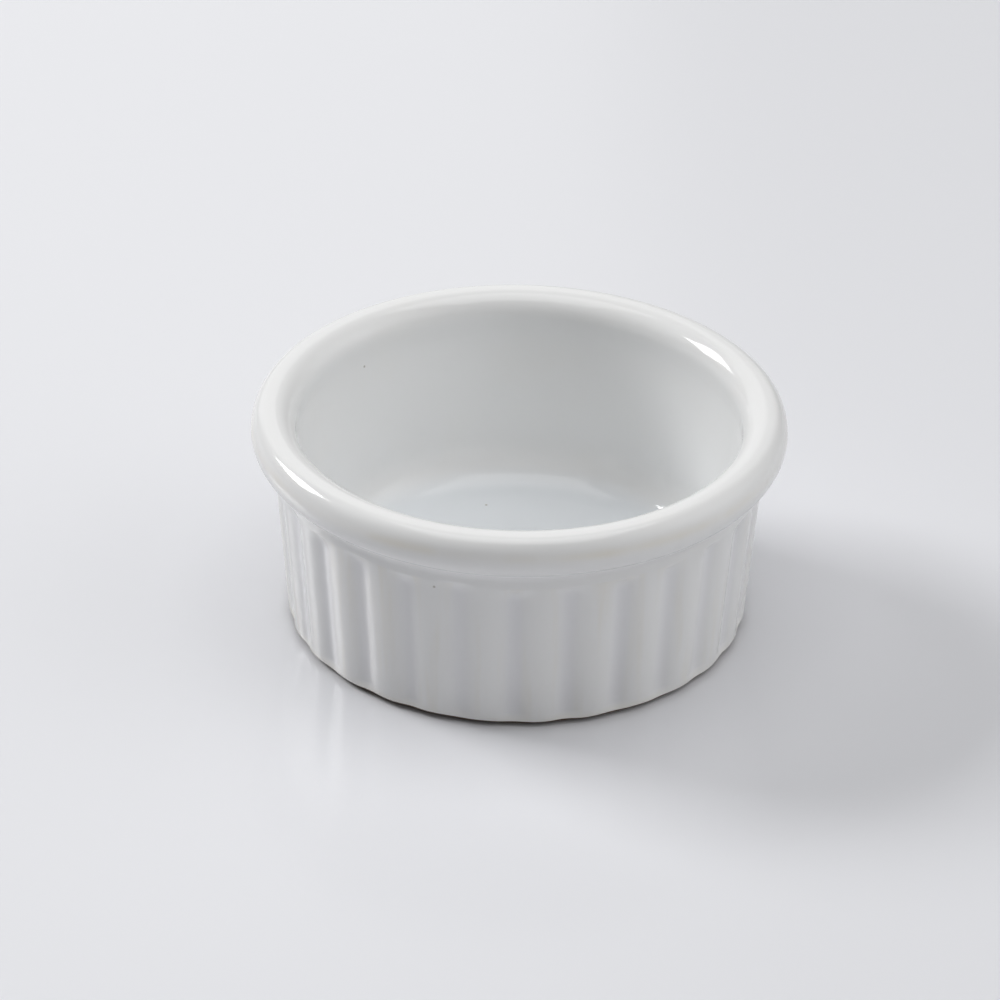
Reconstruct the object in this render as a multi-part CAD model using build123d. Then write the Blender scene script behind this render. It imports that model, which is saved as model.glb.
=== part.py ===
from build123d import *
import math
import os

# Ramekin: a small round baking dish with a rolled rim, a plain collar and a fluted wall.
# The clay body is one fired piece. White glaze covers it from the heel over the rim to the inside floor,
# and a second patch of glaze lines the recess under the floor. The foot ring is bare clay.
# Lengths are in millimetres, the Z axis runs up the middle, and the foot ring stands at Z = 0.
# The named sizes are those of the glazed surface. The clay lies under it by the glaze's thickness, with
# fewer flats and sharp valleys, which the glaze fills and rounds.

# Overall size over the glaze
rim_diameter = 80.6
height = 34.7

# Rolled rim: an oval shoulder from the crown down to its widest line, then a round roll under it
rim_shoulder_width = 2.4
rim_shoulder_drop = 3.3
rim_roll_radius = 3.5
rim_crown_width = 0.85
rim_cove_radius = 1.6
rim_overhang = 3.45
lip_radius = 3.45

# Fluted wall
flute_count = 28
flute_depth = 0.7
flute_valley_radius = 2.0
flute_top = 25.1
flute_runout = 2.4
wall_draft = 4.5

# Heel, where the flutes fade nearly to a circle on the way down to the glaze's lower edge
heel_rise = 1.8
heel_depth_share = 0.15

# Inside
lip_band_height = 2.8
inner_draft = 4.9
floor_thickness = 2.5
floor_corner_radius = 7.0

# Foot ring and the recess inside it
foot_height = 0.6
foot_inset = 1.3
foot_ring_width = 2.6
recess_depth = 1.3

# Glaze
glaze_thickness = 0.3

# How far cutting tools run past what they cut
overrun = 2.0

# Heights of the sections through the flute tops, as shares of the runout
runout_shares = (0.0, 0.65, 1.0)

# The first rib stands half a pitch from the X axis, so that valleys face the X and Y axes
first_rib_pitches = 0.5

# How many flats stand for each round of the glaze: shoulder, roll, cove, lip and floor corner
shoulder_flat_count = 3
roll_flat_count = 3
cove_flat_count = 2
lip_flat_count = 3
corner_flat_count = 3

# How many flats the hidden clay has: round the roll, round the shoulder, round the lip, round a rib
clay_roll_flat_count = 1
clay_shoulder_flat_count = 2
clay_lip_flat_count = 2
clay_rib_flat_count = 2

# How far below its widest line the clay roll starts, in degrees
clay_roll_start = 65

# Sizes that follow from the ones above
rim_radius = rim_diameter / 2
collar_radius = rim_radius - rim_overhang
mouth_radius = rim_radius - rim_shoulder_width - rim_crown_width - lip_radius
lip_band_bottom = height - lip_radius - lip_band_height
floor_height = recess_depth + floor_thickness
pitch_angle = 2 * math.pi / flute_count


def around(centre, radius, degrees):
    """A point of an outline at a distance and a direction from a centre."""
    turn = math.radians(degrees)
    return (centre[0] + radius * math.cos(turn), centre[1] + radius * math.sin(turn))


def flats(centre, radius, start, sweep, count):
    """Flats in place of a round, with their corners on it."""
    return Polyline([around(centre, radius, start + sweep * step / count) for step in range(count + 1)])


def oval_flats(centre, width, rise, count):
    """Flats in place of a quarter of an oval, from its outermost point up to its highest, corners on it."""
    points = []
    for step in range(count + 1):
        across, up = around((0, 0), 1, 90 * step / count)
        points.append((centre[0] + width * across, centre[1] + rise * up))
    return Polyline(points)


def hollow_flat(centre, radius, start, sweep):
    """One flat outside a hollow round: it touches it at its middle and ends on the tangents at its ends."""
    corner_radius = radius / math.cos(math.radians(sweep / 4))
    return Line(
        around(centre, corner_radius, start + sweep / 4),
        around(centre, corner_radius, start + sweep * 3 / 4),
    )


def ring_solid(*pieces):
    """The solid of revolution of an outline, whose pieces are joined end to start by straight lines."""
    edges = []
    for index, piece in enumerate(pieces):
        following = pieces[(index + 1) % len(pieces)]
        edges.append(piece)
        if (piece @ 1 - following @ 0).length > 0:
            edges.append(Line(piece @ 1, following @ 0))
    return revolve(Plane.XZ * make_face(edges), Axis.Z)


def crest_radius(level):
    """Radius over the flute crests at a height: the drafted outside of the wall."""
    return collar_radius - (flute_top - level) * math.tan(math.radians(wall_draft))


def inner_radius(level):
    """Radius of the drafted inside of the wall at a height."""
    return mouth_radius - (lip_band_bottom - level) * math.tan(math.radians(inner_draft))


def rib_round(crest):
    """Radius of a rib's round, and how far it turns to each side before it runs smoothly into a valley."""
    valley_centre = crest - flute_depth + flute_valley_radius
    reach = valley_centre * math.cos(pitch_angle / 2)
    squares = crest**2 + valley_centre**2 - flute_valley_radius**2 - 2 * crest * reach
    rib_radius = squares / (2 * (crest - reach + flute_valley_radius))
    turn = math.atan2(valley_centre * math.sin(pitch_angle / 2), reach - crest + rib_radius)
    return rib_radius, turn


def glazed_section(level, crest, depth_share):
    """The glazed wall at one height: a convex rib and a rounded valley in each pitch, as tangent arcs."""
    rib_radius, turn = rib_round(crest)
    side_x, side_y = around((crest - rib_radius, 0), rib_radius, math.degrees(turn))
    side_angle = math.atan2(side_y, side_x)
    side_radius = crest - depth_share * (crest - math.hypot(side_x, side_y))
    valley_bottom = crest - depth_share * flute_depth
    edges = []
    for flute in range(flute_count):
        middle = math.degrees((flute + first_rib_pitches) * pitch_angle)
        side = math.degrees(side_angle)
        pitch = math.degrees(pitch_angle)
        axis = (0, 0)
        rib_start = around(axis, side_radius, middle - side)
        rib_end = around(axis, side_radius, middle + side)
        next_start = around(axis, side_radius, middle + pitch - side)
        edges.append(ThreePointArc(rib_start, around(axis, crest, middle), rib_end))
        edges.append(ThreePointArc(rib_end, around(axis, valley_bottom, middle + pitch / 2), next_start))
    return Pos(0, 0, level) * make_face(edges)


def clay_section(level, crest):
    """The clay wall at one height: ribs of a few flats under the glazed ones, meeting in sharp valleys."""
    rib_radius, turn = rib_round(crest)
    rib_centre = crest - rib_radius
    clay_radius = rib_radius - glaze_thickness
    turn = pitch_angle / 2 + math.asin(rib_centre * math.sin(pitch_angle / 2) / clay_radius)
    points = []
    for flute in range(flute_count):
        middle = (flute + first_rib_pitches) * pitch_angle
        for step in range(clay_rib_flat_count):
            lean = turn * (2 * step / clay_rib_flat_count - 1)
            across, up = around((rib_centre, 0), clay_radius, math.degrees(lean))
            place = middle + math.atan2(up, across)
            points.append(around((0, 0), math.hypot(across, up), math.degrees(place)))
    return Pos(0, 0, level) * make_face(Polyline(points, close=True))


def glazed_wall():
    """The glazed wall up to the collar: heel, drafted flutes and their rounded tops."""
    heel_top = foot_height + heel_rise
    sections = [
        glazed_section(foot_height, crest_radius(foot_height), heel_depth_share),
        glazed_section(heel_top, crest_radius(heel_top), 1),
    ]
    for share in runout_shares:
        level = flute_top - flute_runout * (1 - share)
        sections.append(glazed_section(level, crest_radius(level), math.sqrt(1 - share**2)))
    return loft(sections, ruled=True)


def clay_wall():
    """The clay wall up to the collar: drafted flutes that end square at the heel and under the collar."""
    return loft(
        [
            clay_section(foot_height, crest_radius(foot_height)),
            clay_section(flute_top, crest_radius(flute_top)),
        ],
        ruled=True,
    )


def rim_block(inset):
    """The solid of collar and rolled rim above the flutes, before it is hollowed, set in by an inset."""
    widest_height = height - rim_shoulder_drop
    roll_centre = (rim_radius - rim_roll_radius, widest_height)
    shoulder_centre = (rim_radius - rim_shoulder_width, widest_height)
    shoulder_width = rim_shoulder_width - inset
    shoulder_rise = rim_shoulder_drop - inset
    roll_radius = rim_roll_radius - inset
    cove_out = collar_radius + rim_cove_radius - roll_centre[0]
    cove_down = math.sqrt((rim_roll_radius + rim_cove_radius) ** 2 - cove_out**2)
    cove_centre = (roll_centre[0] + cove_out, roll_centre[1] - cove_down)
    meeting = math.degrees(math.atan2(cove_down, cove_out))
    if inset == 0:
        cove = flats(cove_centre, rim_cove_radius, 180, -meeting, cove_flat_count)
        roll = flats(roll_centre, roll_radius, -meeting, meeting, roll_flat_count)
        shoulder = oval_flats(shoulder_centre, shoulder_width, shoulder_rise, shoulder_flat_count)
    else:
        cove = hollow_flat(cove_centre, rim_cove_radius + inset, 180, -meeting)
        roll = flats(roll_centre, roll_radius, -clay_roll_start, clay_roll_start, clay_roll_flat_count)
        shoulder = oval_flats(shoulder_centre, shoulder_width, shoulder_rise, clay_shoulder_flat_count)
    seat = Line((0, flute_top), (collar_radius - inset, flute_top))
    top = Line((0, height - inset), (0, flute_top))
    return ring_solid(seat, cove, roll, shoulder, top)


def cavity(inset):
    """The space inside the dish: flat floor, eased corner, drafted wall, upright band and rounded lip."""
    sweep = 90 - inner_draft
    corner_height = floor_height + floor_corner_radius
    wall_offset = floor_corner_radius / math.cos(math.radians(inner_draft))
    corner_centre = (inner_radius(corner_height) - wall_offset, corner_height)
    lip_centre = (mouth_radius + lip_radius, height - lip_radius)
    if inset == 0:
        corner = flats(corner_centre, floor_corner_radius, -90, sweep, corner_flat_count)
        lip = flats(lip_centre, lip_radius, 180, -90, lip_flat_count)
    else:
        corner = hollow_flat(corner_centre, floor_corner_radius + inset, -90, sweep)
        lip = flats(lip_centre, lip_radius - inset, 180, -90, clay_lip_flat_count)
    wall_top = (mouth_radius + inset, lip_band_bottom)
    over = height + overrun
    return ring_solid(
        corner,
        Line(wall_top, lip @ 0),
        lip,
        Line((lip_centre[0], over), (0, over)),
        Line((0, over), (0, floor_height - inset)),
    )


def dish_form(inset):
    """The dish without its foot ring: fluted wall and rim, hollowed, and set in by an inset."""
    wall = glazed_wall() if inset == 0 else clay_wall()
    return wall + rim_block(inset) - cavity(inset)


def foot_radius():
    """Outer radius of the foot ring, set in from the heel."""
    return crest_radius(foot_height) - foot_inset


def disc(radius, bottom, top):
    """A plain round slab between two heights."""
    return Pos(0, 0, bottom) * extrude(Circle(radius), top - bottom)


def clay_body():
    """The fired clay: the dish under its glaze, on a foot ring with a shallow recess inside it."""
    foot = disc(foot_radius(), 0, recess_depth + floor_thickness / 2)
    recess = disc(foot_radius() - foot_ring_width, -overrun, recess_depth)
    return dish_form(glaze_thickness) + foot - recess


def glaze_coat():
    """The glaze from the heel over the rim to the inside floor."""
    return dish_form(0) - dish_form(glaze_thickness)


def base_glaze():
    """The patch of glaze on the ceiling of the recess."""
    return disc(foot_radius() - foot_ring_width, recess_depth - glaze_thickness, recess_depth)


def write_part(name, shape):
    """Names a finished piece and writes its file."""
    shape.label = name
    export_step(shape, f"parts/{name}.step")


os.makedirs("parts", exist_ok=True)
write_part("clay_body", clay_body())
write_part("glaze_coat", glaze_coat())
write_part("base_glaze", base_glaze())
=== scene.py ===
import math

import bpy
import numpy as np
from mathutils import Matrix, Vector


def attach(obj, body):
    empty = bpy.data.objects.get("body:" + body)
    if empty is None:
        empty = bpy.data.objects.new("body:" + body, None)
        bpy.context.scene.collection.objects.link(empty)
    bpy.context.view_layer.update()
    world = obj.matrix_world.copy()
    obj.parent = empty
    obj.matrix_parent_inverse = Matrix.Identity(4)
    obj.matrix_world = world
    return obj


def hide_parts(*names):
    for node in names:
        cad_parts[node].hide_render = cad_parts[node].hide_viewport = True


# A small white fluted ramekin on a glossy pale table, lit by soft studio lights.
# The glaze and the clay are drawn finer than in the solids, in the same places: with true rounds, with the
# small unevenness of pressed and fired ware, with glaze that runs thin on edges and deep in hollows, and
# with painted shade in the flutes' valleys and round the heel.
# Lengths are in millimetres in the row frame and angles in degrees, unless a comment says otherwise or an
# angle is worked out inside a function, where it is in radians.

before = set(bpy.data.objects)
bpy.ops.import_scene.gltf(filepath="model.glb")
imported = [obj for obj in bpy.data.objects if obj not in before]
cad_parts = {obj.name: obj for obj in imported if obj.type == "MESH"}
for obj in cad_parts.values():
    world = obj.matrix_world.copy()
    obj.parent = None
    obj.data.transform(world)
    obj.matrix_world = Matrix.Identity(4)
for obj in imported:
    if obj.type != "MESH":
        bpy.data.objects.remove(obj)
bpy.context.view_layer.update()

millimetre = 0.001

# Sizes over the glaze, as in the solids, but with a rounder cove and rounder valleys, which the glaze
# fills as it melts, with eased edges, and with the glaze wiped back a little from the heel
rim_diameter = 80.6
height = 34.7
rim_shoulder_width = 2.4
rim_shoulder_drop = 3.3
rim_roll_radius = 3.5
rim_crown_width = 0.85
rim_cove_radius = 2.2
rim_overhang = 3.45
lip_radius = 3.45
flute_count = 28
flute_depth = 0.7
flute_valley_radius = 3.5
flute_top = 25.1
flute_runout = 2.4
wall_draft = 4.5
heel_rise = 1.8
heel_depth_share = 0.15
lip_band_height = 2.8
inner_draft = 4.9
floor_thickness = 2.5
floor_corner_radius = 7.0
foot_height = 0.6
foot_inset = 1.3
foot_ring_width = 2.6
foot_edge_radius = 0.25
recess_depth = 1.3
glaze_thickness = 0.3
glaze_edge_radius = 0.2
glaze_wipe = 0.35
first_rib_pitches = 0.5

# How finely the meshes are drawn: columns of faces, degrees between the points of an arc, and rows of faces
columns_per_flute = 16
arc_step = 7.5
fewest_arc_steps = 2
heel_row_count = 10
wall_row_count = 12
runout_row_count = 14
collar_row_count = 5
crown_row_count = 4
band_row_count = 4
floor_row_count = 14
recess_row_count = 6
recess_side_row_count = 3
patch_row_count = 8
patch_back_row_count = 3

# Unevenness of the ware: out of round, rim out of level, the spread of the flutes' tops and depths, and how
# far the lower edge of the glaze wanders. Waves are given by how often each one swings on its way round
out_of_round = 0.06
out_of_level = 0.08
flute_top_spread = 0.5
flute_depth_spread_share = 0.1
edge_raggedness = 0.25
round_waves = (2, 3, 5)
level_waves = (1, 2, 3)
edge_waves = (3, 7, 13, 22, 37)
unevenness_seed = 11

# Tints of the glaze: how far over the rim's widest line the thin edge lies and how wide it is, how strong
# the valleys' tint and painted shade are, and how far above the floor the pooled glaze starts
rim_edge_rise = 0.8
rim_edge_spread = 0.7
valley_tint_and_shade_share = 0.4
pool_depth = 3.0

# Patterns in the glaze and the clay: how many there are to a metre, how many finer layers each has, and how
# deep the relief is. The pattern of the streaks is drawn out upright. The swells and the pinholes are a few
# times as deep as the orange peel, and the clay is darker towards the bottom, up to the last height
cloud_scale = 70.0
cloud_detail_count = 3
streak_scale = 500.0
streak_detail_count = 2
streak_squash_share = 0.04
peel_scale = 900.0
peel_depth = 0.004
swell_scale = 160.0
swell_share = 6.0
relief_detail_count = 1
grain_scale = 1400.0
grain_detail_count = 4
grain_depth = 0.05
dark_foot_height = 0.5

# What a pattern is turned into: two of its values, and the share or the roughness that each of them gives
thin_patches = (0.4, 0.65, 0.1, 0.6)
warm_patches = (0.55, 0.8, 0, 0.1)
streaks = (0.5, 0.7, 0, 0.25)
glaze_roughness = (0.3, 0.7, 0.07, 0.13)
clay_patches = (0.3, 0.75, 0, 0.5)
dark_foot_patches = (0.35, 0.6, 0.4, 1)

# Roughness of the plain surfaces
clay_roughness = 0.85
table_roughness = 0.22

# Colours, in linear light
glaze_white = (0.84, 0.842, 0.84)
glaze_thin = (0.78, 0.735, 0.63)
glaze_deep = (0.82, 0.85, 0.875)
# Lavender of glaze pooled in the valleys, darkened as painted shade
valley_tint_and_painted_shade = (0.78, 0.78, 0.825)
pinhole_dark = (0.5, 0.48, 0.44)
clay_beige = (0.52, 0.38, 0.24)
clay_dark = (0.12, 0.08, 0.05)
# Clay dark from toasting, and darker still as painted shade of the gap under the heel
clay_toast_and_heel_shade = (0.085, 0.052, 0.033)
table_colour = (0.8, 0.805, 0.835)

# Pinholes in the glaze: a point of its surface for each, their radius, and the share of it that is all dark
pinholes = (
    (-24.4, 23.1, 27.9),
    (-5.2, 22.4, 3.8),
    (-11.6, -34.9, 24.1),
    (36.0, 8.0, 20.0),
    (8.0, 35.6, 15.0),
)
pinhole_radius = 0.27
pinhole_core_share = 0.4

# Camera: a long lens that looks down on the dish, as fitted to the photo
camera_distance = 691.55
camera_azimuth = 0.5
camera_elevation = 32.09
camera_pan = -0.23
camera_tilt = 1.29
camera_roll = 0.97
lens_focal = 162.0
sensor_width = 36.0

# Table and softboxes, in metres and watts. The window stands at the back left and casts the shadow
table_size = 6.0
softboxes = {
    "window": {"azimuth": 154.4, "elevation": 34, "distance": 3.0, "size": (1.15, 0.95), "watts": 51.6},
    "back": {"azimuth": 108, "elevation": 25, "distance": 1.2, "size": (0.8, 0.8), "watts": 1.3},
    "ceiling": {"azimuth": 90, "elevation": 88, "distance": 1.2, "size": (1.0, 1.0), "watts": 4.9},
    "left": {"azimuth": 175, "elevation": 45, "distance": 2.0, "size": (1.2, 1.2), "watts": 2.0},
}

# Soft light of the room: each glow comes from a direction and spreads as a power of the cosine. The room
# also has a pale background, which only the camera and the reflections see
room_brightness = 0.2
room_glows = {
    "right": {"azimuth": 0, "elevation": 35, "exponent": 6, "strength": 1.62},
    "front": {"azimuth": -90, "elevation": 40, "exponent": 6, "strength": 0.44},
}

# Sizes that follow from the ones above. The pitch and the azimuths are in radians
rim_radius = rim_diameter / 2
collar_radius = rim_radius - rim_overhang
mouth_radius = rim_radius - rim_shoulder_width - rim_crown_width - lip_radius
widest_height = height - rim_shoulder_drop
lip_band_bottom = height - lip_radius - lip_band_height
floor_height = recess_depth + floor_thickness
heel_top = foot_height + heel_rise
pitch = 2 * math.pi / flute_count
columns = flute_count * columns_per_flute
azimuths = np.arange(columns) * 2 * math.pi / columns


def crest_radius(level):
    """Radius over the flute crests at a height."""
    return collar_radius - (flute_top - level) * math.tan(math.radians(wall_draft))


def inner_radius(level):
    """Radius of the drafted inside of the wall at a height."""
    return mouth_radius - (lip_band_bottom - level) * math.tan(math.radians(inner_draft))


def foot_radius():
    """Outer radius of the foot ring."""
    return crest_radius(foot_height) - foot_inset


def flute_drop(crest):
    """How far the fluted surface lies inside its crest radius, column by column."""
    valley_centre = crest - flute_depth + flute_valley_radius
    reach = valley_centre * math.cos(pitch / 2)
    squares = crest**2 + valley_centre**2 - flute_valley_radius**2 - 2 * crest * reach
    rib_radius = squares / (2 * (crest - reach + flute_valley_radius))
    rib_centre = crest - rib_radius
    turn = math.atan2(valley_centre * math.sin(pitch / 2), reach - rib_centre)
    side = math.atan2(rib_radius * math.sin(turn), rib_centre + rib_radius * math.cos(turn))
    shares = azimuths / pitch - first_rib_pitches
    from_rib = np.abs(shares - np.round(shares)) * pitch
    from_valley = pitch / 2 - from_rib
    rib_rest = rib_radius**2 - (rib_centre * np.sin(from_rib)) ** 2
    valley_rest = flute_valley_radius**2 - (valley_centre * np.sin(from_valley)) ** 2
    rib = rib_centre * np.cos(from_rib) + np.sqrt(rib_rest)
    valley = valley_centre * np.cos(from_valley) - np.sqrt(np.maximum(valley_rest, 0))
    return crest - np.where(from_rib < side, rib, valley)


def eased(share):
    """A share from 0 to 1 that starts and ends gently."""
    return share * share * (3 - 2 * share)


def soften(values, start, end):
    """Rises gently from 0 at the start to 1 at the end."""
    return eased(np.clip((values - start) / (end - start), 0, 1))


def smooth_around(values):
    """Values given once per flute, blended gently from one to the next, column by column."""
    places = azimuths / pitch
    before = np.floor(places).astype(int) % flute_count
    share = eased(places - np.floor(places))
    return values[before] * (1 - share) + values[(before + 1) % flute_count] * share


def waves(random, orders):
    """A smooth uneven value around the dish from 0 to 1, made of waves of the given orders."""
    total = np.zeros(columns)
    for order in orders:
        size = random.normal()
        start = random.uniform(0, 2 * math.pi)
        total += size * np.sin(order * azimuths + start) / math.sqrt(order)
    return (total - total.min()) / (total.max() - total.min())


chance = np.random.default_rng(unevenness_seed)
top_shift = smooth_around(chance.uniform(-flute_top_spread, flute_top_spread, flute_count))
depth_change = chance.uniform(-flute_depth_spread_share, flute_depth_spread_share, flute_count)
depth_factor = smooth_around(1 + depth_change)
round_error = waves(chance, round_waves) * out_of_round / rim_radius
level_error = waves(chance, level_waves) * out_of_level / height
ragged_edge = (waves(chance, edge_waves) - 1 / 2) * edge_raggedness


def arc(centre, radius, start, sweep):
    """Points along an arc, from its start angle through its sweep, in degrees."""
    steps = max(fewest_arc_steps, math.ceil(abs(sweep) / arc_step))
    angles = np.radians(np.linspace(start, start + sweep, steps + 1))
    return [(centre[0] + radius * math.cos(a), centre[1] + radius * math.sin(a)) for a in angles]


def oval(centre, width, rise):
    """Points round a quarter of an oval, from its outermost point up to its highest."""
    steps = math.ceil(90 / arc_step) + 1
    angles = np.radians(np.linspace(0, 90, steps + 1))
    return [(centre[0] + width * math.cos(a), centre[1] + rise * math.sin(a)) for a in angles]


def straight(start, end, steps):
    """Points between two ends, without the ends themselves."""
    shares = np.linspace(0, 1, steps + 1)[1:-1]
    return [(start[0] + (end[0] - start[0]) * s, start[1] + (end[1] - start[1]) * s) for s in shares]


def ring(radius, level, fluted=False):
    """Radii and heights of one ring of vertices, fluted where it is part of the outer wall."""
    radii = np.full(columns, float(radius))
    if fluted:
        runout = np.clip((level - (flute_top + top_shift - flute_runout)) / flute_runout, 0, 1)
        rise = min(max((level - foot_height) / heel_rise, 0), 1)
        heel_share = heel_depth_share + (1 - heel_depth_share) * rise
        radii = radii - flute_drop(radius) * (1 - runout**2) * heel_share * depth_factor
    return radii, np.full(columns, float(level))


def heel_rings(inset, bottom):
    """Rings up the heel, from a rounded and ragged lower edge."""
    rings = []
    for share in np.linspace(0, 1, heel_row_count + 1) ** 2:
        level = bottom + (heel_top - bottom) * share
        rounding = max(1 - (level - bottom) / glaze_edge_radius, 0)
        edge_in = glaze_edge_radius * (1 - math.sqrt(1 - rounding**2))
        radii, levels = ring(crest_radius(level) - edge_in - inset, level, True)
        rings.append((radii, levels - ragged_edge * (1 - share)))
    return rings


def flute_rings(inset):
    """Rings up the flutes, from the heel to the collar."""
    middle = flute_top - flute_runout - flute_top_spread
    high = flute_top + flute_top_spread
    wall_levels = np.linspace(heel_top, middle, wall_row_count + 1)[1:]
    runout_levels = np.linspace(middle, high, runout_row_count + 1)[1:]
    rings = []
    for level in np.concatenate([wall_levels, runout_levels]):
        rings.append(ring(min(crest_radius(level), collar_radius) - inset, level, True))
    return rings


def rim_points(inset):
    """Points of the outline from the collar over the cove, the roll and the shoulder to the crown."""
    roll_centre = (rim_radius - rim_roll_radius, widest_height)
    shoulder_centre = (rim_radius - rim_shoulder_width, widest_height)
    cove_out = collar_radius + rim_cove_radius - roll_centre[0]
    cove_down = math.sqrt((rim_roll_radius + rim_cove_radius) ** 2 - cove_out**2)
    cove_centre = (roll_centre[0] + cove_out, roll_centre[1] - cove_down)
    meeting = math.degrees(math.atan2(cove_down, cove_out))
    cove = arc(cove_centre, rim_cove_radius + inset, 180, -meeting)
    roll = arc(roll_centre, rim_roll_radius - inset, -meeting, meeting)
    shoulder = oval(shoulder_centre, rim_shoulder_width - inset, rim_shoulder_drop - inset)
    collar = straight((collar_radius - inset, flute_top + flute_top_spread), cove[0], collar_row_count)
    return collar + cove + roll[1:] + shoulder[1:]


def inside_points(inset, crown_start):
    """Points of the outline from the crown over the lip and down the wall to the middle of the floor."""
    lip_centre = (mouth_radius + lip_radius, height - lip_radius)
    corner_height = floor_height + floor_corner_radius
    wall_offset = floor_corner_radius / math.cos(math.radians(inner_draft))
    corner_centre = (inner_radius(corner_height) - wall_offset, corner_height)
    band_bottom = (mouth_radius + inset, lip_band_bottom)
    crown = straight(crown_start, (lip_centre[0], height - inset), crown_row_count)
    lip = arc(lip_centre, lip_radius - inset, 90, 90)
    band = straight(lip[-1], band_bottom, band_row_count) + [band_bottom]
    corner = arc(corner_centre, floor_corner_radius + inset, -inner_draft, inner_draft - 90)
    wall = straight(band_bottom, corner[0], wall_row_count)
    floor = straight(corner[-1], (0, floor_height - inset), floor_row_count)
    return crown + lip + band + wall + corner + floor


def skin(inset, bottom):
    """Rings of the form set in by an inset, from its lower edge to the floor, and the floor's height."""
    rim = rim_points(inset)
    points = rim + inside_points(inset, rim[-1])
    rings = heel_rings(inset, bottom) + flute_rings(inset) + [ring(*point) for point in points]
    return rings, floor_height - inset


def uneven_places(radii, levels):
    """Where a ring's vertices lie with the ware's unevenness, in metres."""
    out = radii * (1 - round_error)
    up = levels * (1 - level_error * levels / height)
    return np.stack([out * np.cos(azimuths), out * np.sin(azimuths), up], -1) * millimetre


def revolved(name, rings, first_pole, last_pole):
    """A closed mesh from rings of vertices between two poles on the axis."""
    places = np.concatenate([uneven_places(radii, levels) for radii, levels in rings]).tolist()
    start = len(places)
    end = start + 1
    last = start - columns
    places += [(0, 0, first_pole * millimetre), (0, 0, last_pole * millimetre)]
    following = [(column + 1) % columns for column in range(columns)]
    faces = [(start, following[c], c) for c in range(columns)]
    for low in range(0, last, columns):
        high = low + columns
        faces += [(low + c, low + following[c], high + following[c], high + c) for c in range(columns)]
    faces += [(last + c, last + following[c], end) for c in range(columns)]
    mesh = bpy.data.meshes.new(name)
    mesh.from_pydata(places, [], faces)
    mesh.validate()
    mesh.shade_smooth()
    piece = bpy.data.objects.new(name, mesh)
    bpy.context.scene.collection.objects.link(piece)
    return piece


def vertex_places(piece):
    """The radius and the height of every vertex, in millimetres."""
    flat = np.empty(len(piece.data.vertices) * 3)
    piece.data.vertices.foreach_get("co", flat)
    x, y, level = flat.reshape(-1, 3).T / millimetre
    return np.hypot(x, y), level


def store(piece, name, values):
    """Stores one number for every vertex, for the material."""
    piece.data.attributes.new(name, "FLOAT", "POINT").data.foreach_set("value", values.astype(float))


def record_toast_and_heel_shade(piece):
    """Stores the clay's toasting and painted shade of the gap under the heel: on the heel and the foot
    ring's outer side.
    """
    radius, level = vertex_places(piece)
    facing_out = soften(radius, foot_radius() - foot_edge_radius, foot_radius())
    store(piece, "toast_and_heel_shade", facing_out * (level < heel_top))


def record_thickness(piece):
    """Stores where the glaze lies thin, where it has pooled, where its valleys take tint and painted shade,
    and where its ribs are.
    """
    radius, level = vertex_places(piece)
    crest = crest_radius(level)
    on_wall = (radius > crest - flute_depth - glaze_thickness) & (level < flute_top)
    on_floor = (radius < mouth_radius) & (level > recess_depth)
    on_rim = radius > rim_radius - rim_shoulder_width
    sunk = np.clip((crest - radius) / flute_depth, 0, 1) * soften(level, foot_height, heel_top)
    from_edge = (level - (widest_height + rim_edge_rise)) / rim_edge_spread
    edge = np.exp(-(from_edge**2)) * on_rim
    heel = soften(level, heel_top, foot_height) * on_wall
    store(piece, "thin", edge + heel)
    store(piece, "deep", soften(level, floor_height + pool_depth, floor_height) * on_floor)
    # The valleys' tint, partly pooled glaze and partly painted shade
    store(piece, "valleys", valley_tint_and_shade_share * on_wall * sunk**2)
    store(piece, "ribs", on_wall * (1 - sunk))


def glaze_piece():
    """The glaze coat: its outer face, and its inner face on the clay."""
    edge_level = foot_height + glaze_wipe
    outside, top = skin(0, edge_level)
    inside, bottom = skin(glaze_thickness, edge_level)
    piece = revolved("glaze_surface", list(reversed(inside)) + outside, bottom, top)
    record_thickness(piece)
    return piece


def foot_rings():
    """Rings of the bare clay, from the recess under the floor round the foot ring to the heel."""
    outer = foot_radius()
    inner = outer - foot_ring_width
    edge = foot_edge_radius
    corner = (inner, recess_depth)
    points = straight((0, recess_depth), corner, recess_row_count) + [corner]
    points += straight(corner, (inner, edge), recess_side_row_count)
    points += arc((inner + edge, edge), edge, 180, 90)
    points += arc((outer - edge, edge), edge, -90, 90)
    points += [(outer, foot_height)]
    return [ring(*point) for point in points]


def clay_piece():
    """The clay: foot ring, recess and underside, and the faces that the glaze covers."""
    covered, top = skin(glaze_thickness, foot_height)
    piece = revolved("fired_clay", foot_rings() + covered, recess_depth, top)
    record_toast_and_heel_shade(piece)
    return piece


def base_glaze_piece():
    """The patch of glaze on the ceiling of the recess, with a rounded edge."""
    bottom = recess_depth - glaze_thickness
    edge = glaze_thickness / 2
    flat_radius = foot_radius() - foot_ring_width - edge
    points = straight((0, bottom), (flat_radius, bottom), patch_row_count)
    points += arc((flat_radius, recess_depth - edge), edge, -90, 180)
    points += straight((flat_radius, recess_depth), (0, recess_depth), patch_back_row_count)
    return revolved("recess_glaze", [ring(*point) for point in points], bottom, recess_depth)


def new_material(name):
    """An empty node material and its shader."""
    material = bpy.data.materials.new(name)
    material.use_nodes = True
    return material, material.node_tree.nodes["Principled BSDF"]


def add_node(tree, kind, inputs, **settings):
    """Adds a shader node. Its inputs are values, or sockets to link, by name or by number."""
    node = tree.nodes.new("ShaderNode" + kind)
    for key, value in settings.items():
        setattr(node, key, value)
    for key, value in inputs.items():
        if isinstance(value, bpy.types.NodeSocket):
            tree.links.new(value, node.inputs[key])
        else:
            node.inputs[key].default_value = value
    return node


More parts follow.
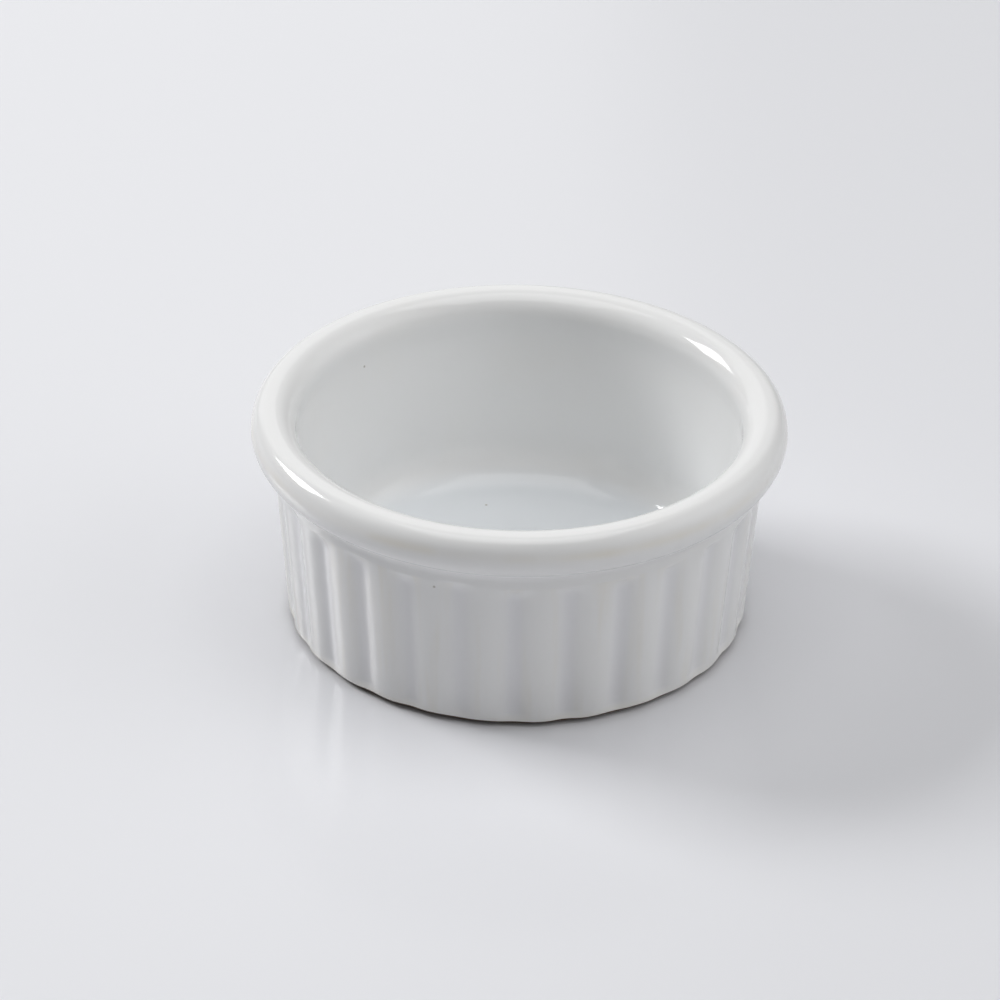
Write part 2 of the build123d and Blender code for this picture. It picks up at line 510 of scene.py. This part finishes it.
def noise(tree, place, scale, detail):
    """A cloudy pattern between 0 and 1."""
    return add_node(tree, "TexNoise", {"Vector": place, "Scale": scale, "Detail": detail}).outputs["Fac"]


def ramp(tree, value, start, end, low, high):
    """Takes a value from one range to another, and stops at its ends."""
    inputs = {"Value": value, "From Min": start, "From Max": end, "To Min": low, "To Max": high}
    return add_node(tree, "MapRange", inputs).outputs["Result"]


def reckon(tree, operation, first, second):
    """What an operation, such as ADD, makes of two values."""
    return add_node(tree, "Math", {0: first, 1: second}, operation=operation).outputs["Value"]


def measure(tree, operation, first, second):
    """The one value that an operation, such as DISTANCE, makes of two vectors."""
    return add_node(tree, "VectorMath", {0: first, 1: second}, operation=operation).outputs["Value"]


def attribute(tree, name):
    """A value stored on the mesh."""
    return add_node(tree, "Attribute", {}, attribute_name=name).outputs["Fac"]


def blend(tree, factor, first, second):
    """Mixes two colours. The node takes them at its inputs 6 and 7 and gives the mix at its output 2."""
    colours = [c if isinstance(c, bpy.types.NodeSocket) else (*c, 1) for c in (first, second)]
    return add_node(tree, "Mix", {0: factor, 6: colours[0], 7: colours[1]}, data_type="RGBA").outputs[2]


def emboss(tree, shader, relief, depth):
    """Gives a shader a fine relief, down to a depth in millimetres."""
    bump = add_node(tree, "Bump", {"Height": relief, "Strength": 1, "Distance": depth * millimetre})
    tree.links.new(bump.outputs["Normal"], shader.inputs["Normal"])


def pinhole_mask(tree, place):
    """1 in the pinholes and 0 elsewhere."""
    total = None
    radius = pinhole_radius * millimetre
    for point in pinholes:
        centre = tuple(value * millimetre for value in point)
        away = measure(tree, "DISTANCE", place, centre)
        spot = ramp(tree, away, pinhole_core_share * radius, radius, 1, 0)
        total = spot if total is None else reckon(tree, "MAXIMUM", total, spot)
    return total


def glaze_colour(tree, place, cloud, pinhole):
    """White that is warm where the glaze lies thin, bluish where it lies deep, lavender with painted shade
    in the valleys, and dark in the pinholes.
    """
    thin = reckon(tree, "MULTIPLY", attribute(tree, "thin"), ramp(tree, cloud, *thin_patches))
    upright = add_node(tree, "Mapping", {"Vector": place, "Scale": (1, 1, streak_squash_share)})
    streak = noise(tree, upright.outputs["Vector"], streak_scale, streak_detail_count)
    streak = reckon(tree, "MULTIPLY", attribute(tree, "ribs"), ramp(tree, streak, *streaks))
    colour = blend(tree, ramp(tree, cloud, *warm_patches), glaze_white, glaze_thin)
    colour = blend(tree, attribute(tree, "deep"), colour, glaze_deep)
    # Pooled glaze's lavender and painted shade in the valleys
    colour = blend(tree, attribute(tree, "valleys"), colour, valley_tint_and_painted_shade)
    colour = blend(tree, reckon(tree, "MAXIMUM", thin, streak), colour, glaze_thin)
    return blend(tree, pinhole, colour, pinhole_dark)


def glaze_relief(tree, place, pinhole):
    """Orange peel on slow swells, with the pinholes sunk into them."""
    peel = noise(tree, place, peel_scale, relief_detail_count)
    swell = noise(tree, place, swell_scale, relief_detail_count)
    relief = reckon(tree, "ADD", peel, reckon(tree, "MULTIPLY", swell, swell_share))
    return reckon(tree, "SUBTRACT", relief, reckon(tree, "MULTIPLY", pinhole, swell_share))


def glaze_material():
    """White glaze: glossy, with tints, pinholes and a faint relief."""
    material, shader = new_material("white_glaze")
    tree = material.node_tree
    place = add_node(tree, "TexCoord", {}).outputs["Object"]
    cloud = noise(tree, place, cloud_scale, cloud_detail_count)
    pinhole = pinhole_mask(tree, place)
    tree.links.new(glaze_colour(tree, place, cloud, pinhole), shader.inputs["Base Color"])
    tree.links.new(ramp(tree, cloud, *glaze_roughness), shader.inputs["Roughness"])
    emboss(tree, shader, glaze_relief(tree, place, pinhole), peel_depth)
    return material


def clay_material():
    """Bare fired clay: beige, matt and fine grained, darker low on its foot, with toasting and painted
    shade by the heel.
    """
    material, shader = new_material("bare_clay")
    tree = material.node_tree
    place = add_node(tree, "TexCoord", {}).outputs["Object"]
    level = add_node(tree, "SeparateXYZ", {0: place}).outputs["Z"]
    grain = noise(tree, place, grain_scale, grain_detail_count)
    # The clay is darker towards the bottom of the foot, in patches
    low_on_foot = ramp(tree, level, 0, dark_foot_height * millimetre, 1, 0)
    patchy = reckon(tree, "MULTIPLY", low_on_foot, ramp(tree, grain, *dark_foot_patches))
    colour = blend(tree, ramp(tree, grain, *clay_patches), clay_beige, clay_dark)
    colour = blend(tree, patchy, colour, clay_dark)
    # Painted shade of the gap under the heel, together with the clay's toasting, on the heel and the foot
    # ring's outer side
    colour = blend(tree, attribute(tree, "toast_and_heel_shade"), colour, clay_toast_and_heel_shade)
    tree.links.new(colour, shader.inputs["Base Color"])
    shader.inputs["Roughness"].default_value = clay_roughness
    emboss(tree, shader, grain, grain_depth)
    return material


def table_material():
    """The pale table, smooth enough to mirror the dish faintly."""
    material, shader = new_material("table")
    shader.inputs["Base Color"].default_value = (*table_colour, 1)
    shader.inputs["Roughness"].default_value = table_roughness
    return material


def make_table():
    """A wide pale table top at the height the dish stands on."""
    bpy.ops.mesh.primitive_plane_add(size=table_size)
    table = bpy.context.object
    table.name = "table_top"
    table.data.materials.append(table_material())


def camera_axes(place):
    """Axes of the camera, which looks at the origin and is then turned by its pan, tilt and roll."""
    pan, tilt, roll = (math.radians(angle) for angle in (camera_pan, camera_tilt, camera_roll))
    forward = -place.normalized()
    right = Vector((1, 0, 0))
    up = right.cross(forward)
    panned = forward * math.cos(pan) * math.cos(tilt) + right * math.sin(pan) * math.cos(tilt)
    aim = (panned + up * math.sin(tilt)).normalized()
    across = aim.cross(up).normalized()
    above = across.cross(aim)
    rolled_across = across * math.cos(roll) + above * math.sin(roll)
    rolled_above = above * math.cos(roll) - across * math.sin(roll)
    return Matrix((rolled_across, rolled_above, -aim)).transposed().to_4x4()


def make_camera():
    """The camera of the photo."""
    elevation = math.radians(camera_elevation)
    place = Vector((0, -math.cos(elevation), math.sin(elevation))) * camera_distance * millimetre
    data = bpy.data.cameras.new("camera")
    data.lens = lens_focal
    data.sensor_width = sensor_width
    data.dof.use_dof = False
    camera = bpy.data.objects.new("camera", data)
    turn = Matrix.Rotation(math.radians(camera_azimuth), 4, "Z")
    camera.matrix_world = turn @ Matrix.Translation(place) @ camera_axes(place)
    bpy.context.scene.collection.objects.link(camera)
    bpy.context.scene.camera = camera


def direction(azimuth, elevation):
    """A unit vector from its azimuth and elevation in degrees."""
    turn, lift = math.radians(azimuth), math.radians(elevation)
    return Vector((math.cos(lift) * math.cos(turn), math.cos(lift) * math.sin(turn), math.sin(lift)))


def make_softbox(name, spec):
    """A rectangular softbox that faces the dish."""
    data = bpy.data.lights.new(name, "AREA")
    data.shape = "RECTANGLE"
    data.size, data.size_y = spec["size"]
    data.energy = spec["watts"]
    light = bpy.data.objects.new(name, data)
    toward = direction(spec["azimuth"], spec["elevation"])
    light.location = toward * spec["distance"]
    light.rotation_euler = toward.to_track_quat("Z", "Y").to_euler()
    bpy.context.scene.collection.objects.link(light)


def make_room():
    """The soft light of the room, as the sum of broad glows, and its pale background."""
    world = bpy.data.worlds.new("room")
    world.use_nodes = True
    tree = world.node_tree
    background = tree.nodes["Background"]
    background.inputs["Color"].default_value = (1, 1, 1, 1)
    look = add_node(tree, "TexCoord", {}).outputs["Generated"]
    rays = add_node(tree, "LightPath", {}).outputs
    seen = reckon(tree, "MAXIMUM", rays["Is Camera Ray"], rays["Is Glossy Ray"])
    total = reckon(tree, "MULTIPLY", seen, room_brightness)
    for spec in room_glows.values():
        facing = measure(tree, "DOT_PRODUCT", look, direction(spec["azimuth"], spec["elevation"]))
        glow = reckon(tree, "POWER", reckon(tree, "MAXIMUM", facing, 0), spec["exponent"])
        total = reckon(tree, "ADD", total, reckon(tree, "MULTIPLY", glow, spec["strength"]))
    tree.links.new(total, background.inputs["Strength"])
    bpy.context.scene.world = world


def dress(piece, node, material):
    """Puts a piece in a node's place on the body and its material."""
    piece.data.materials.append(material)
    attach(piece, "root")
    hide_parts(node)


white = glaze_material()
dress(glaze_piece(), "glaze_coat", white)
dress(base_glaze_piece(), "base_glaze", white)
dress(clay_piece(), "clay_body", clay_material())
make_table()
make_camera()
for box_name, box_spec in softboxes.items():
    make_softbox(box_name, box_spec)
make_room()
bpy.context.scene.view_settings.view_transform = "Standard"
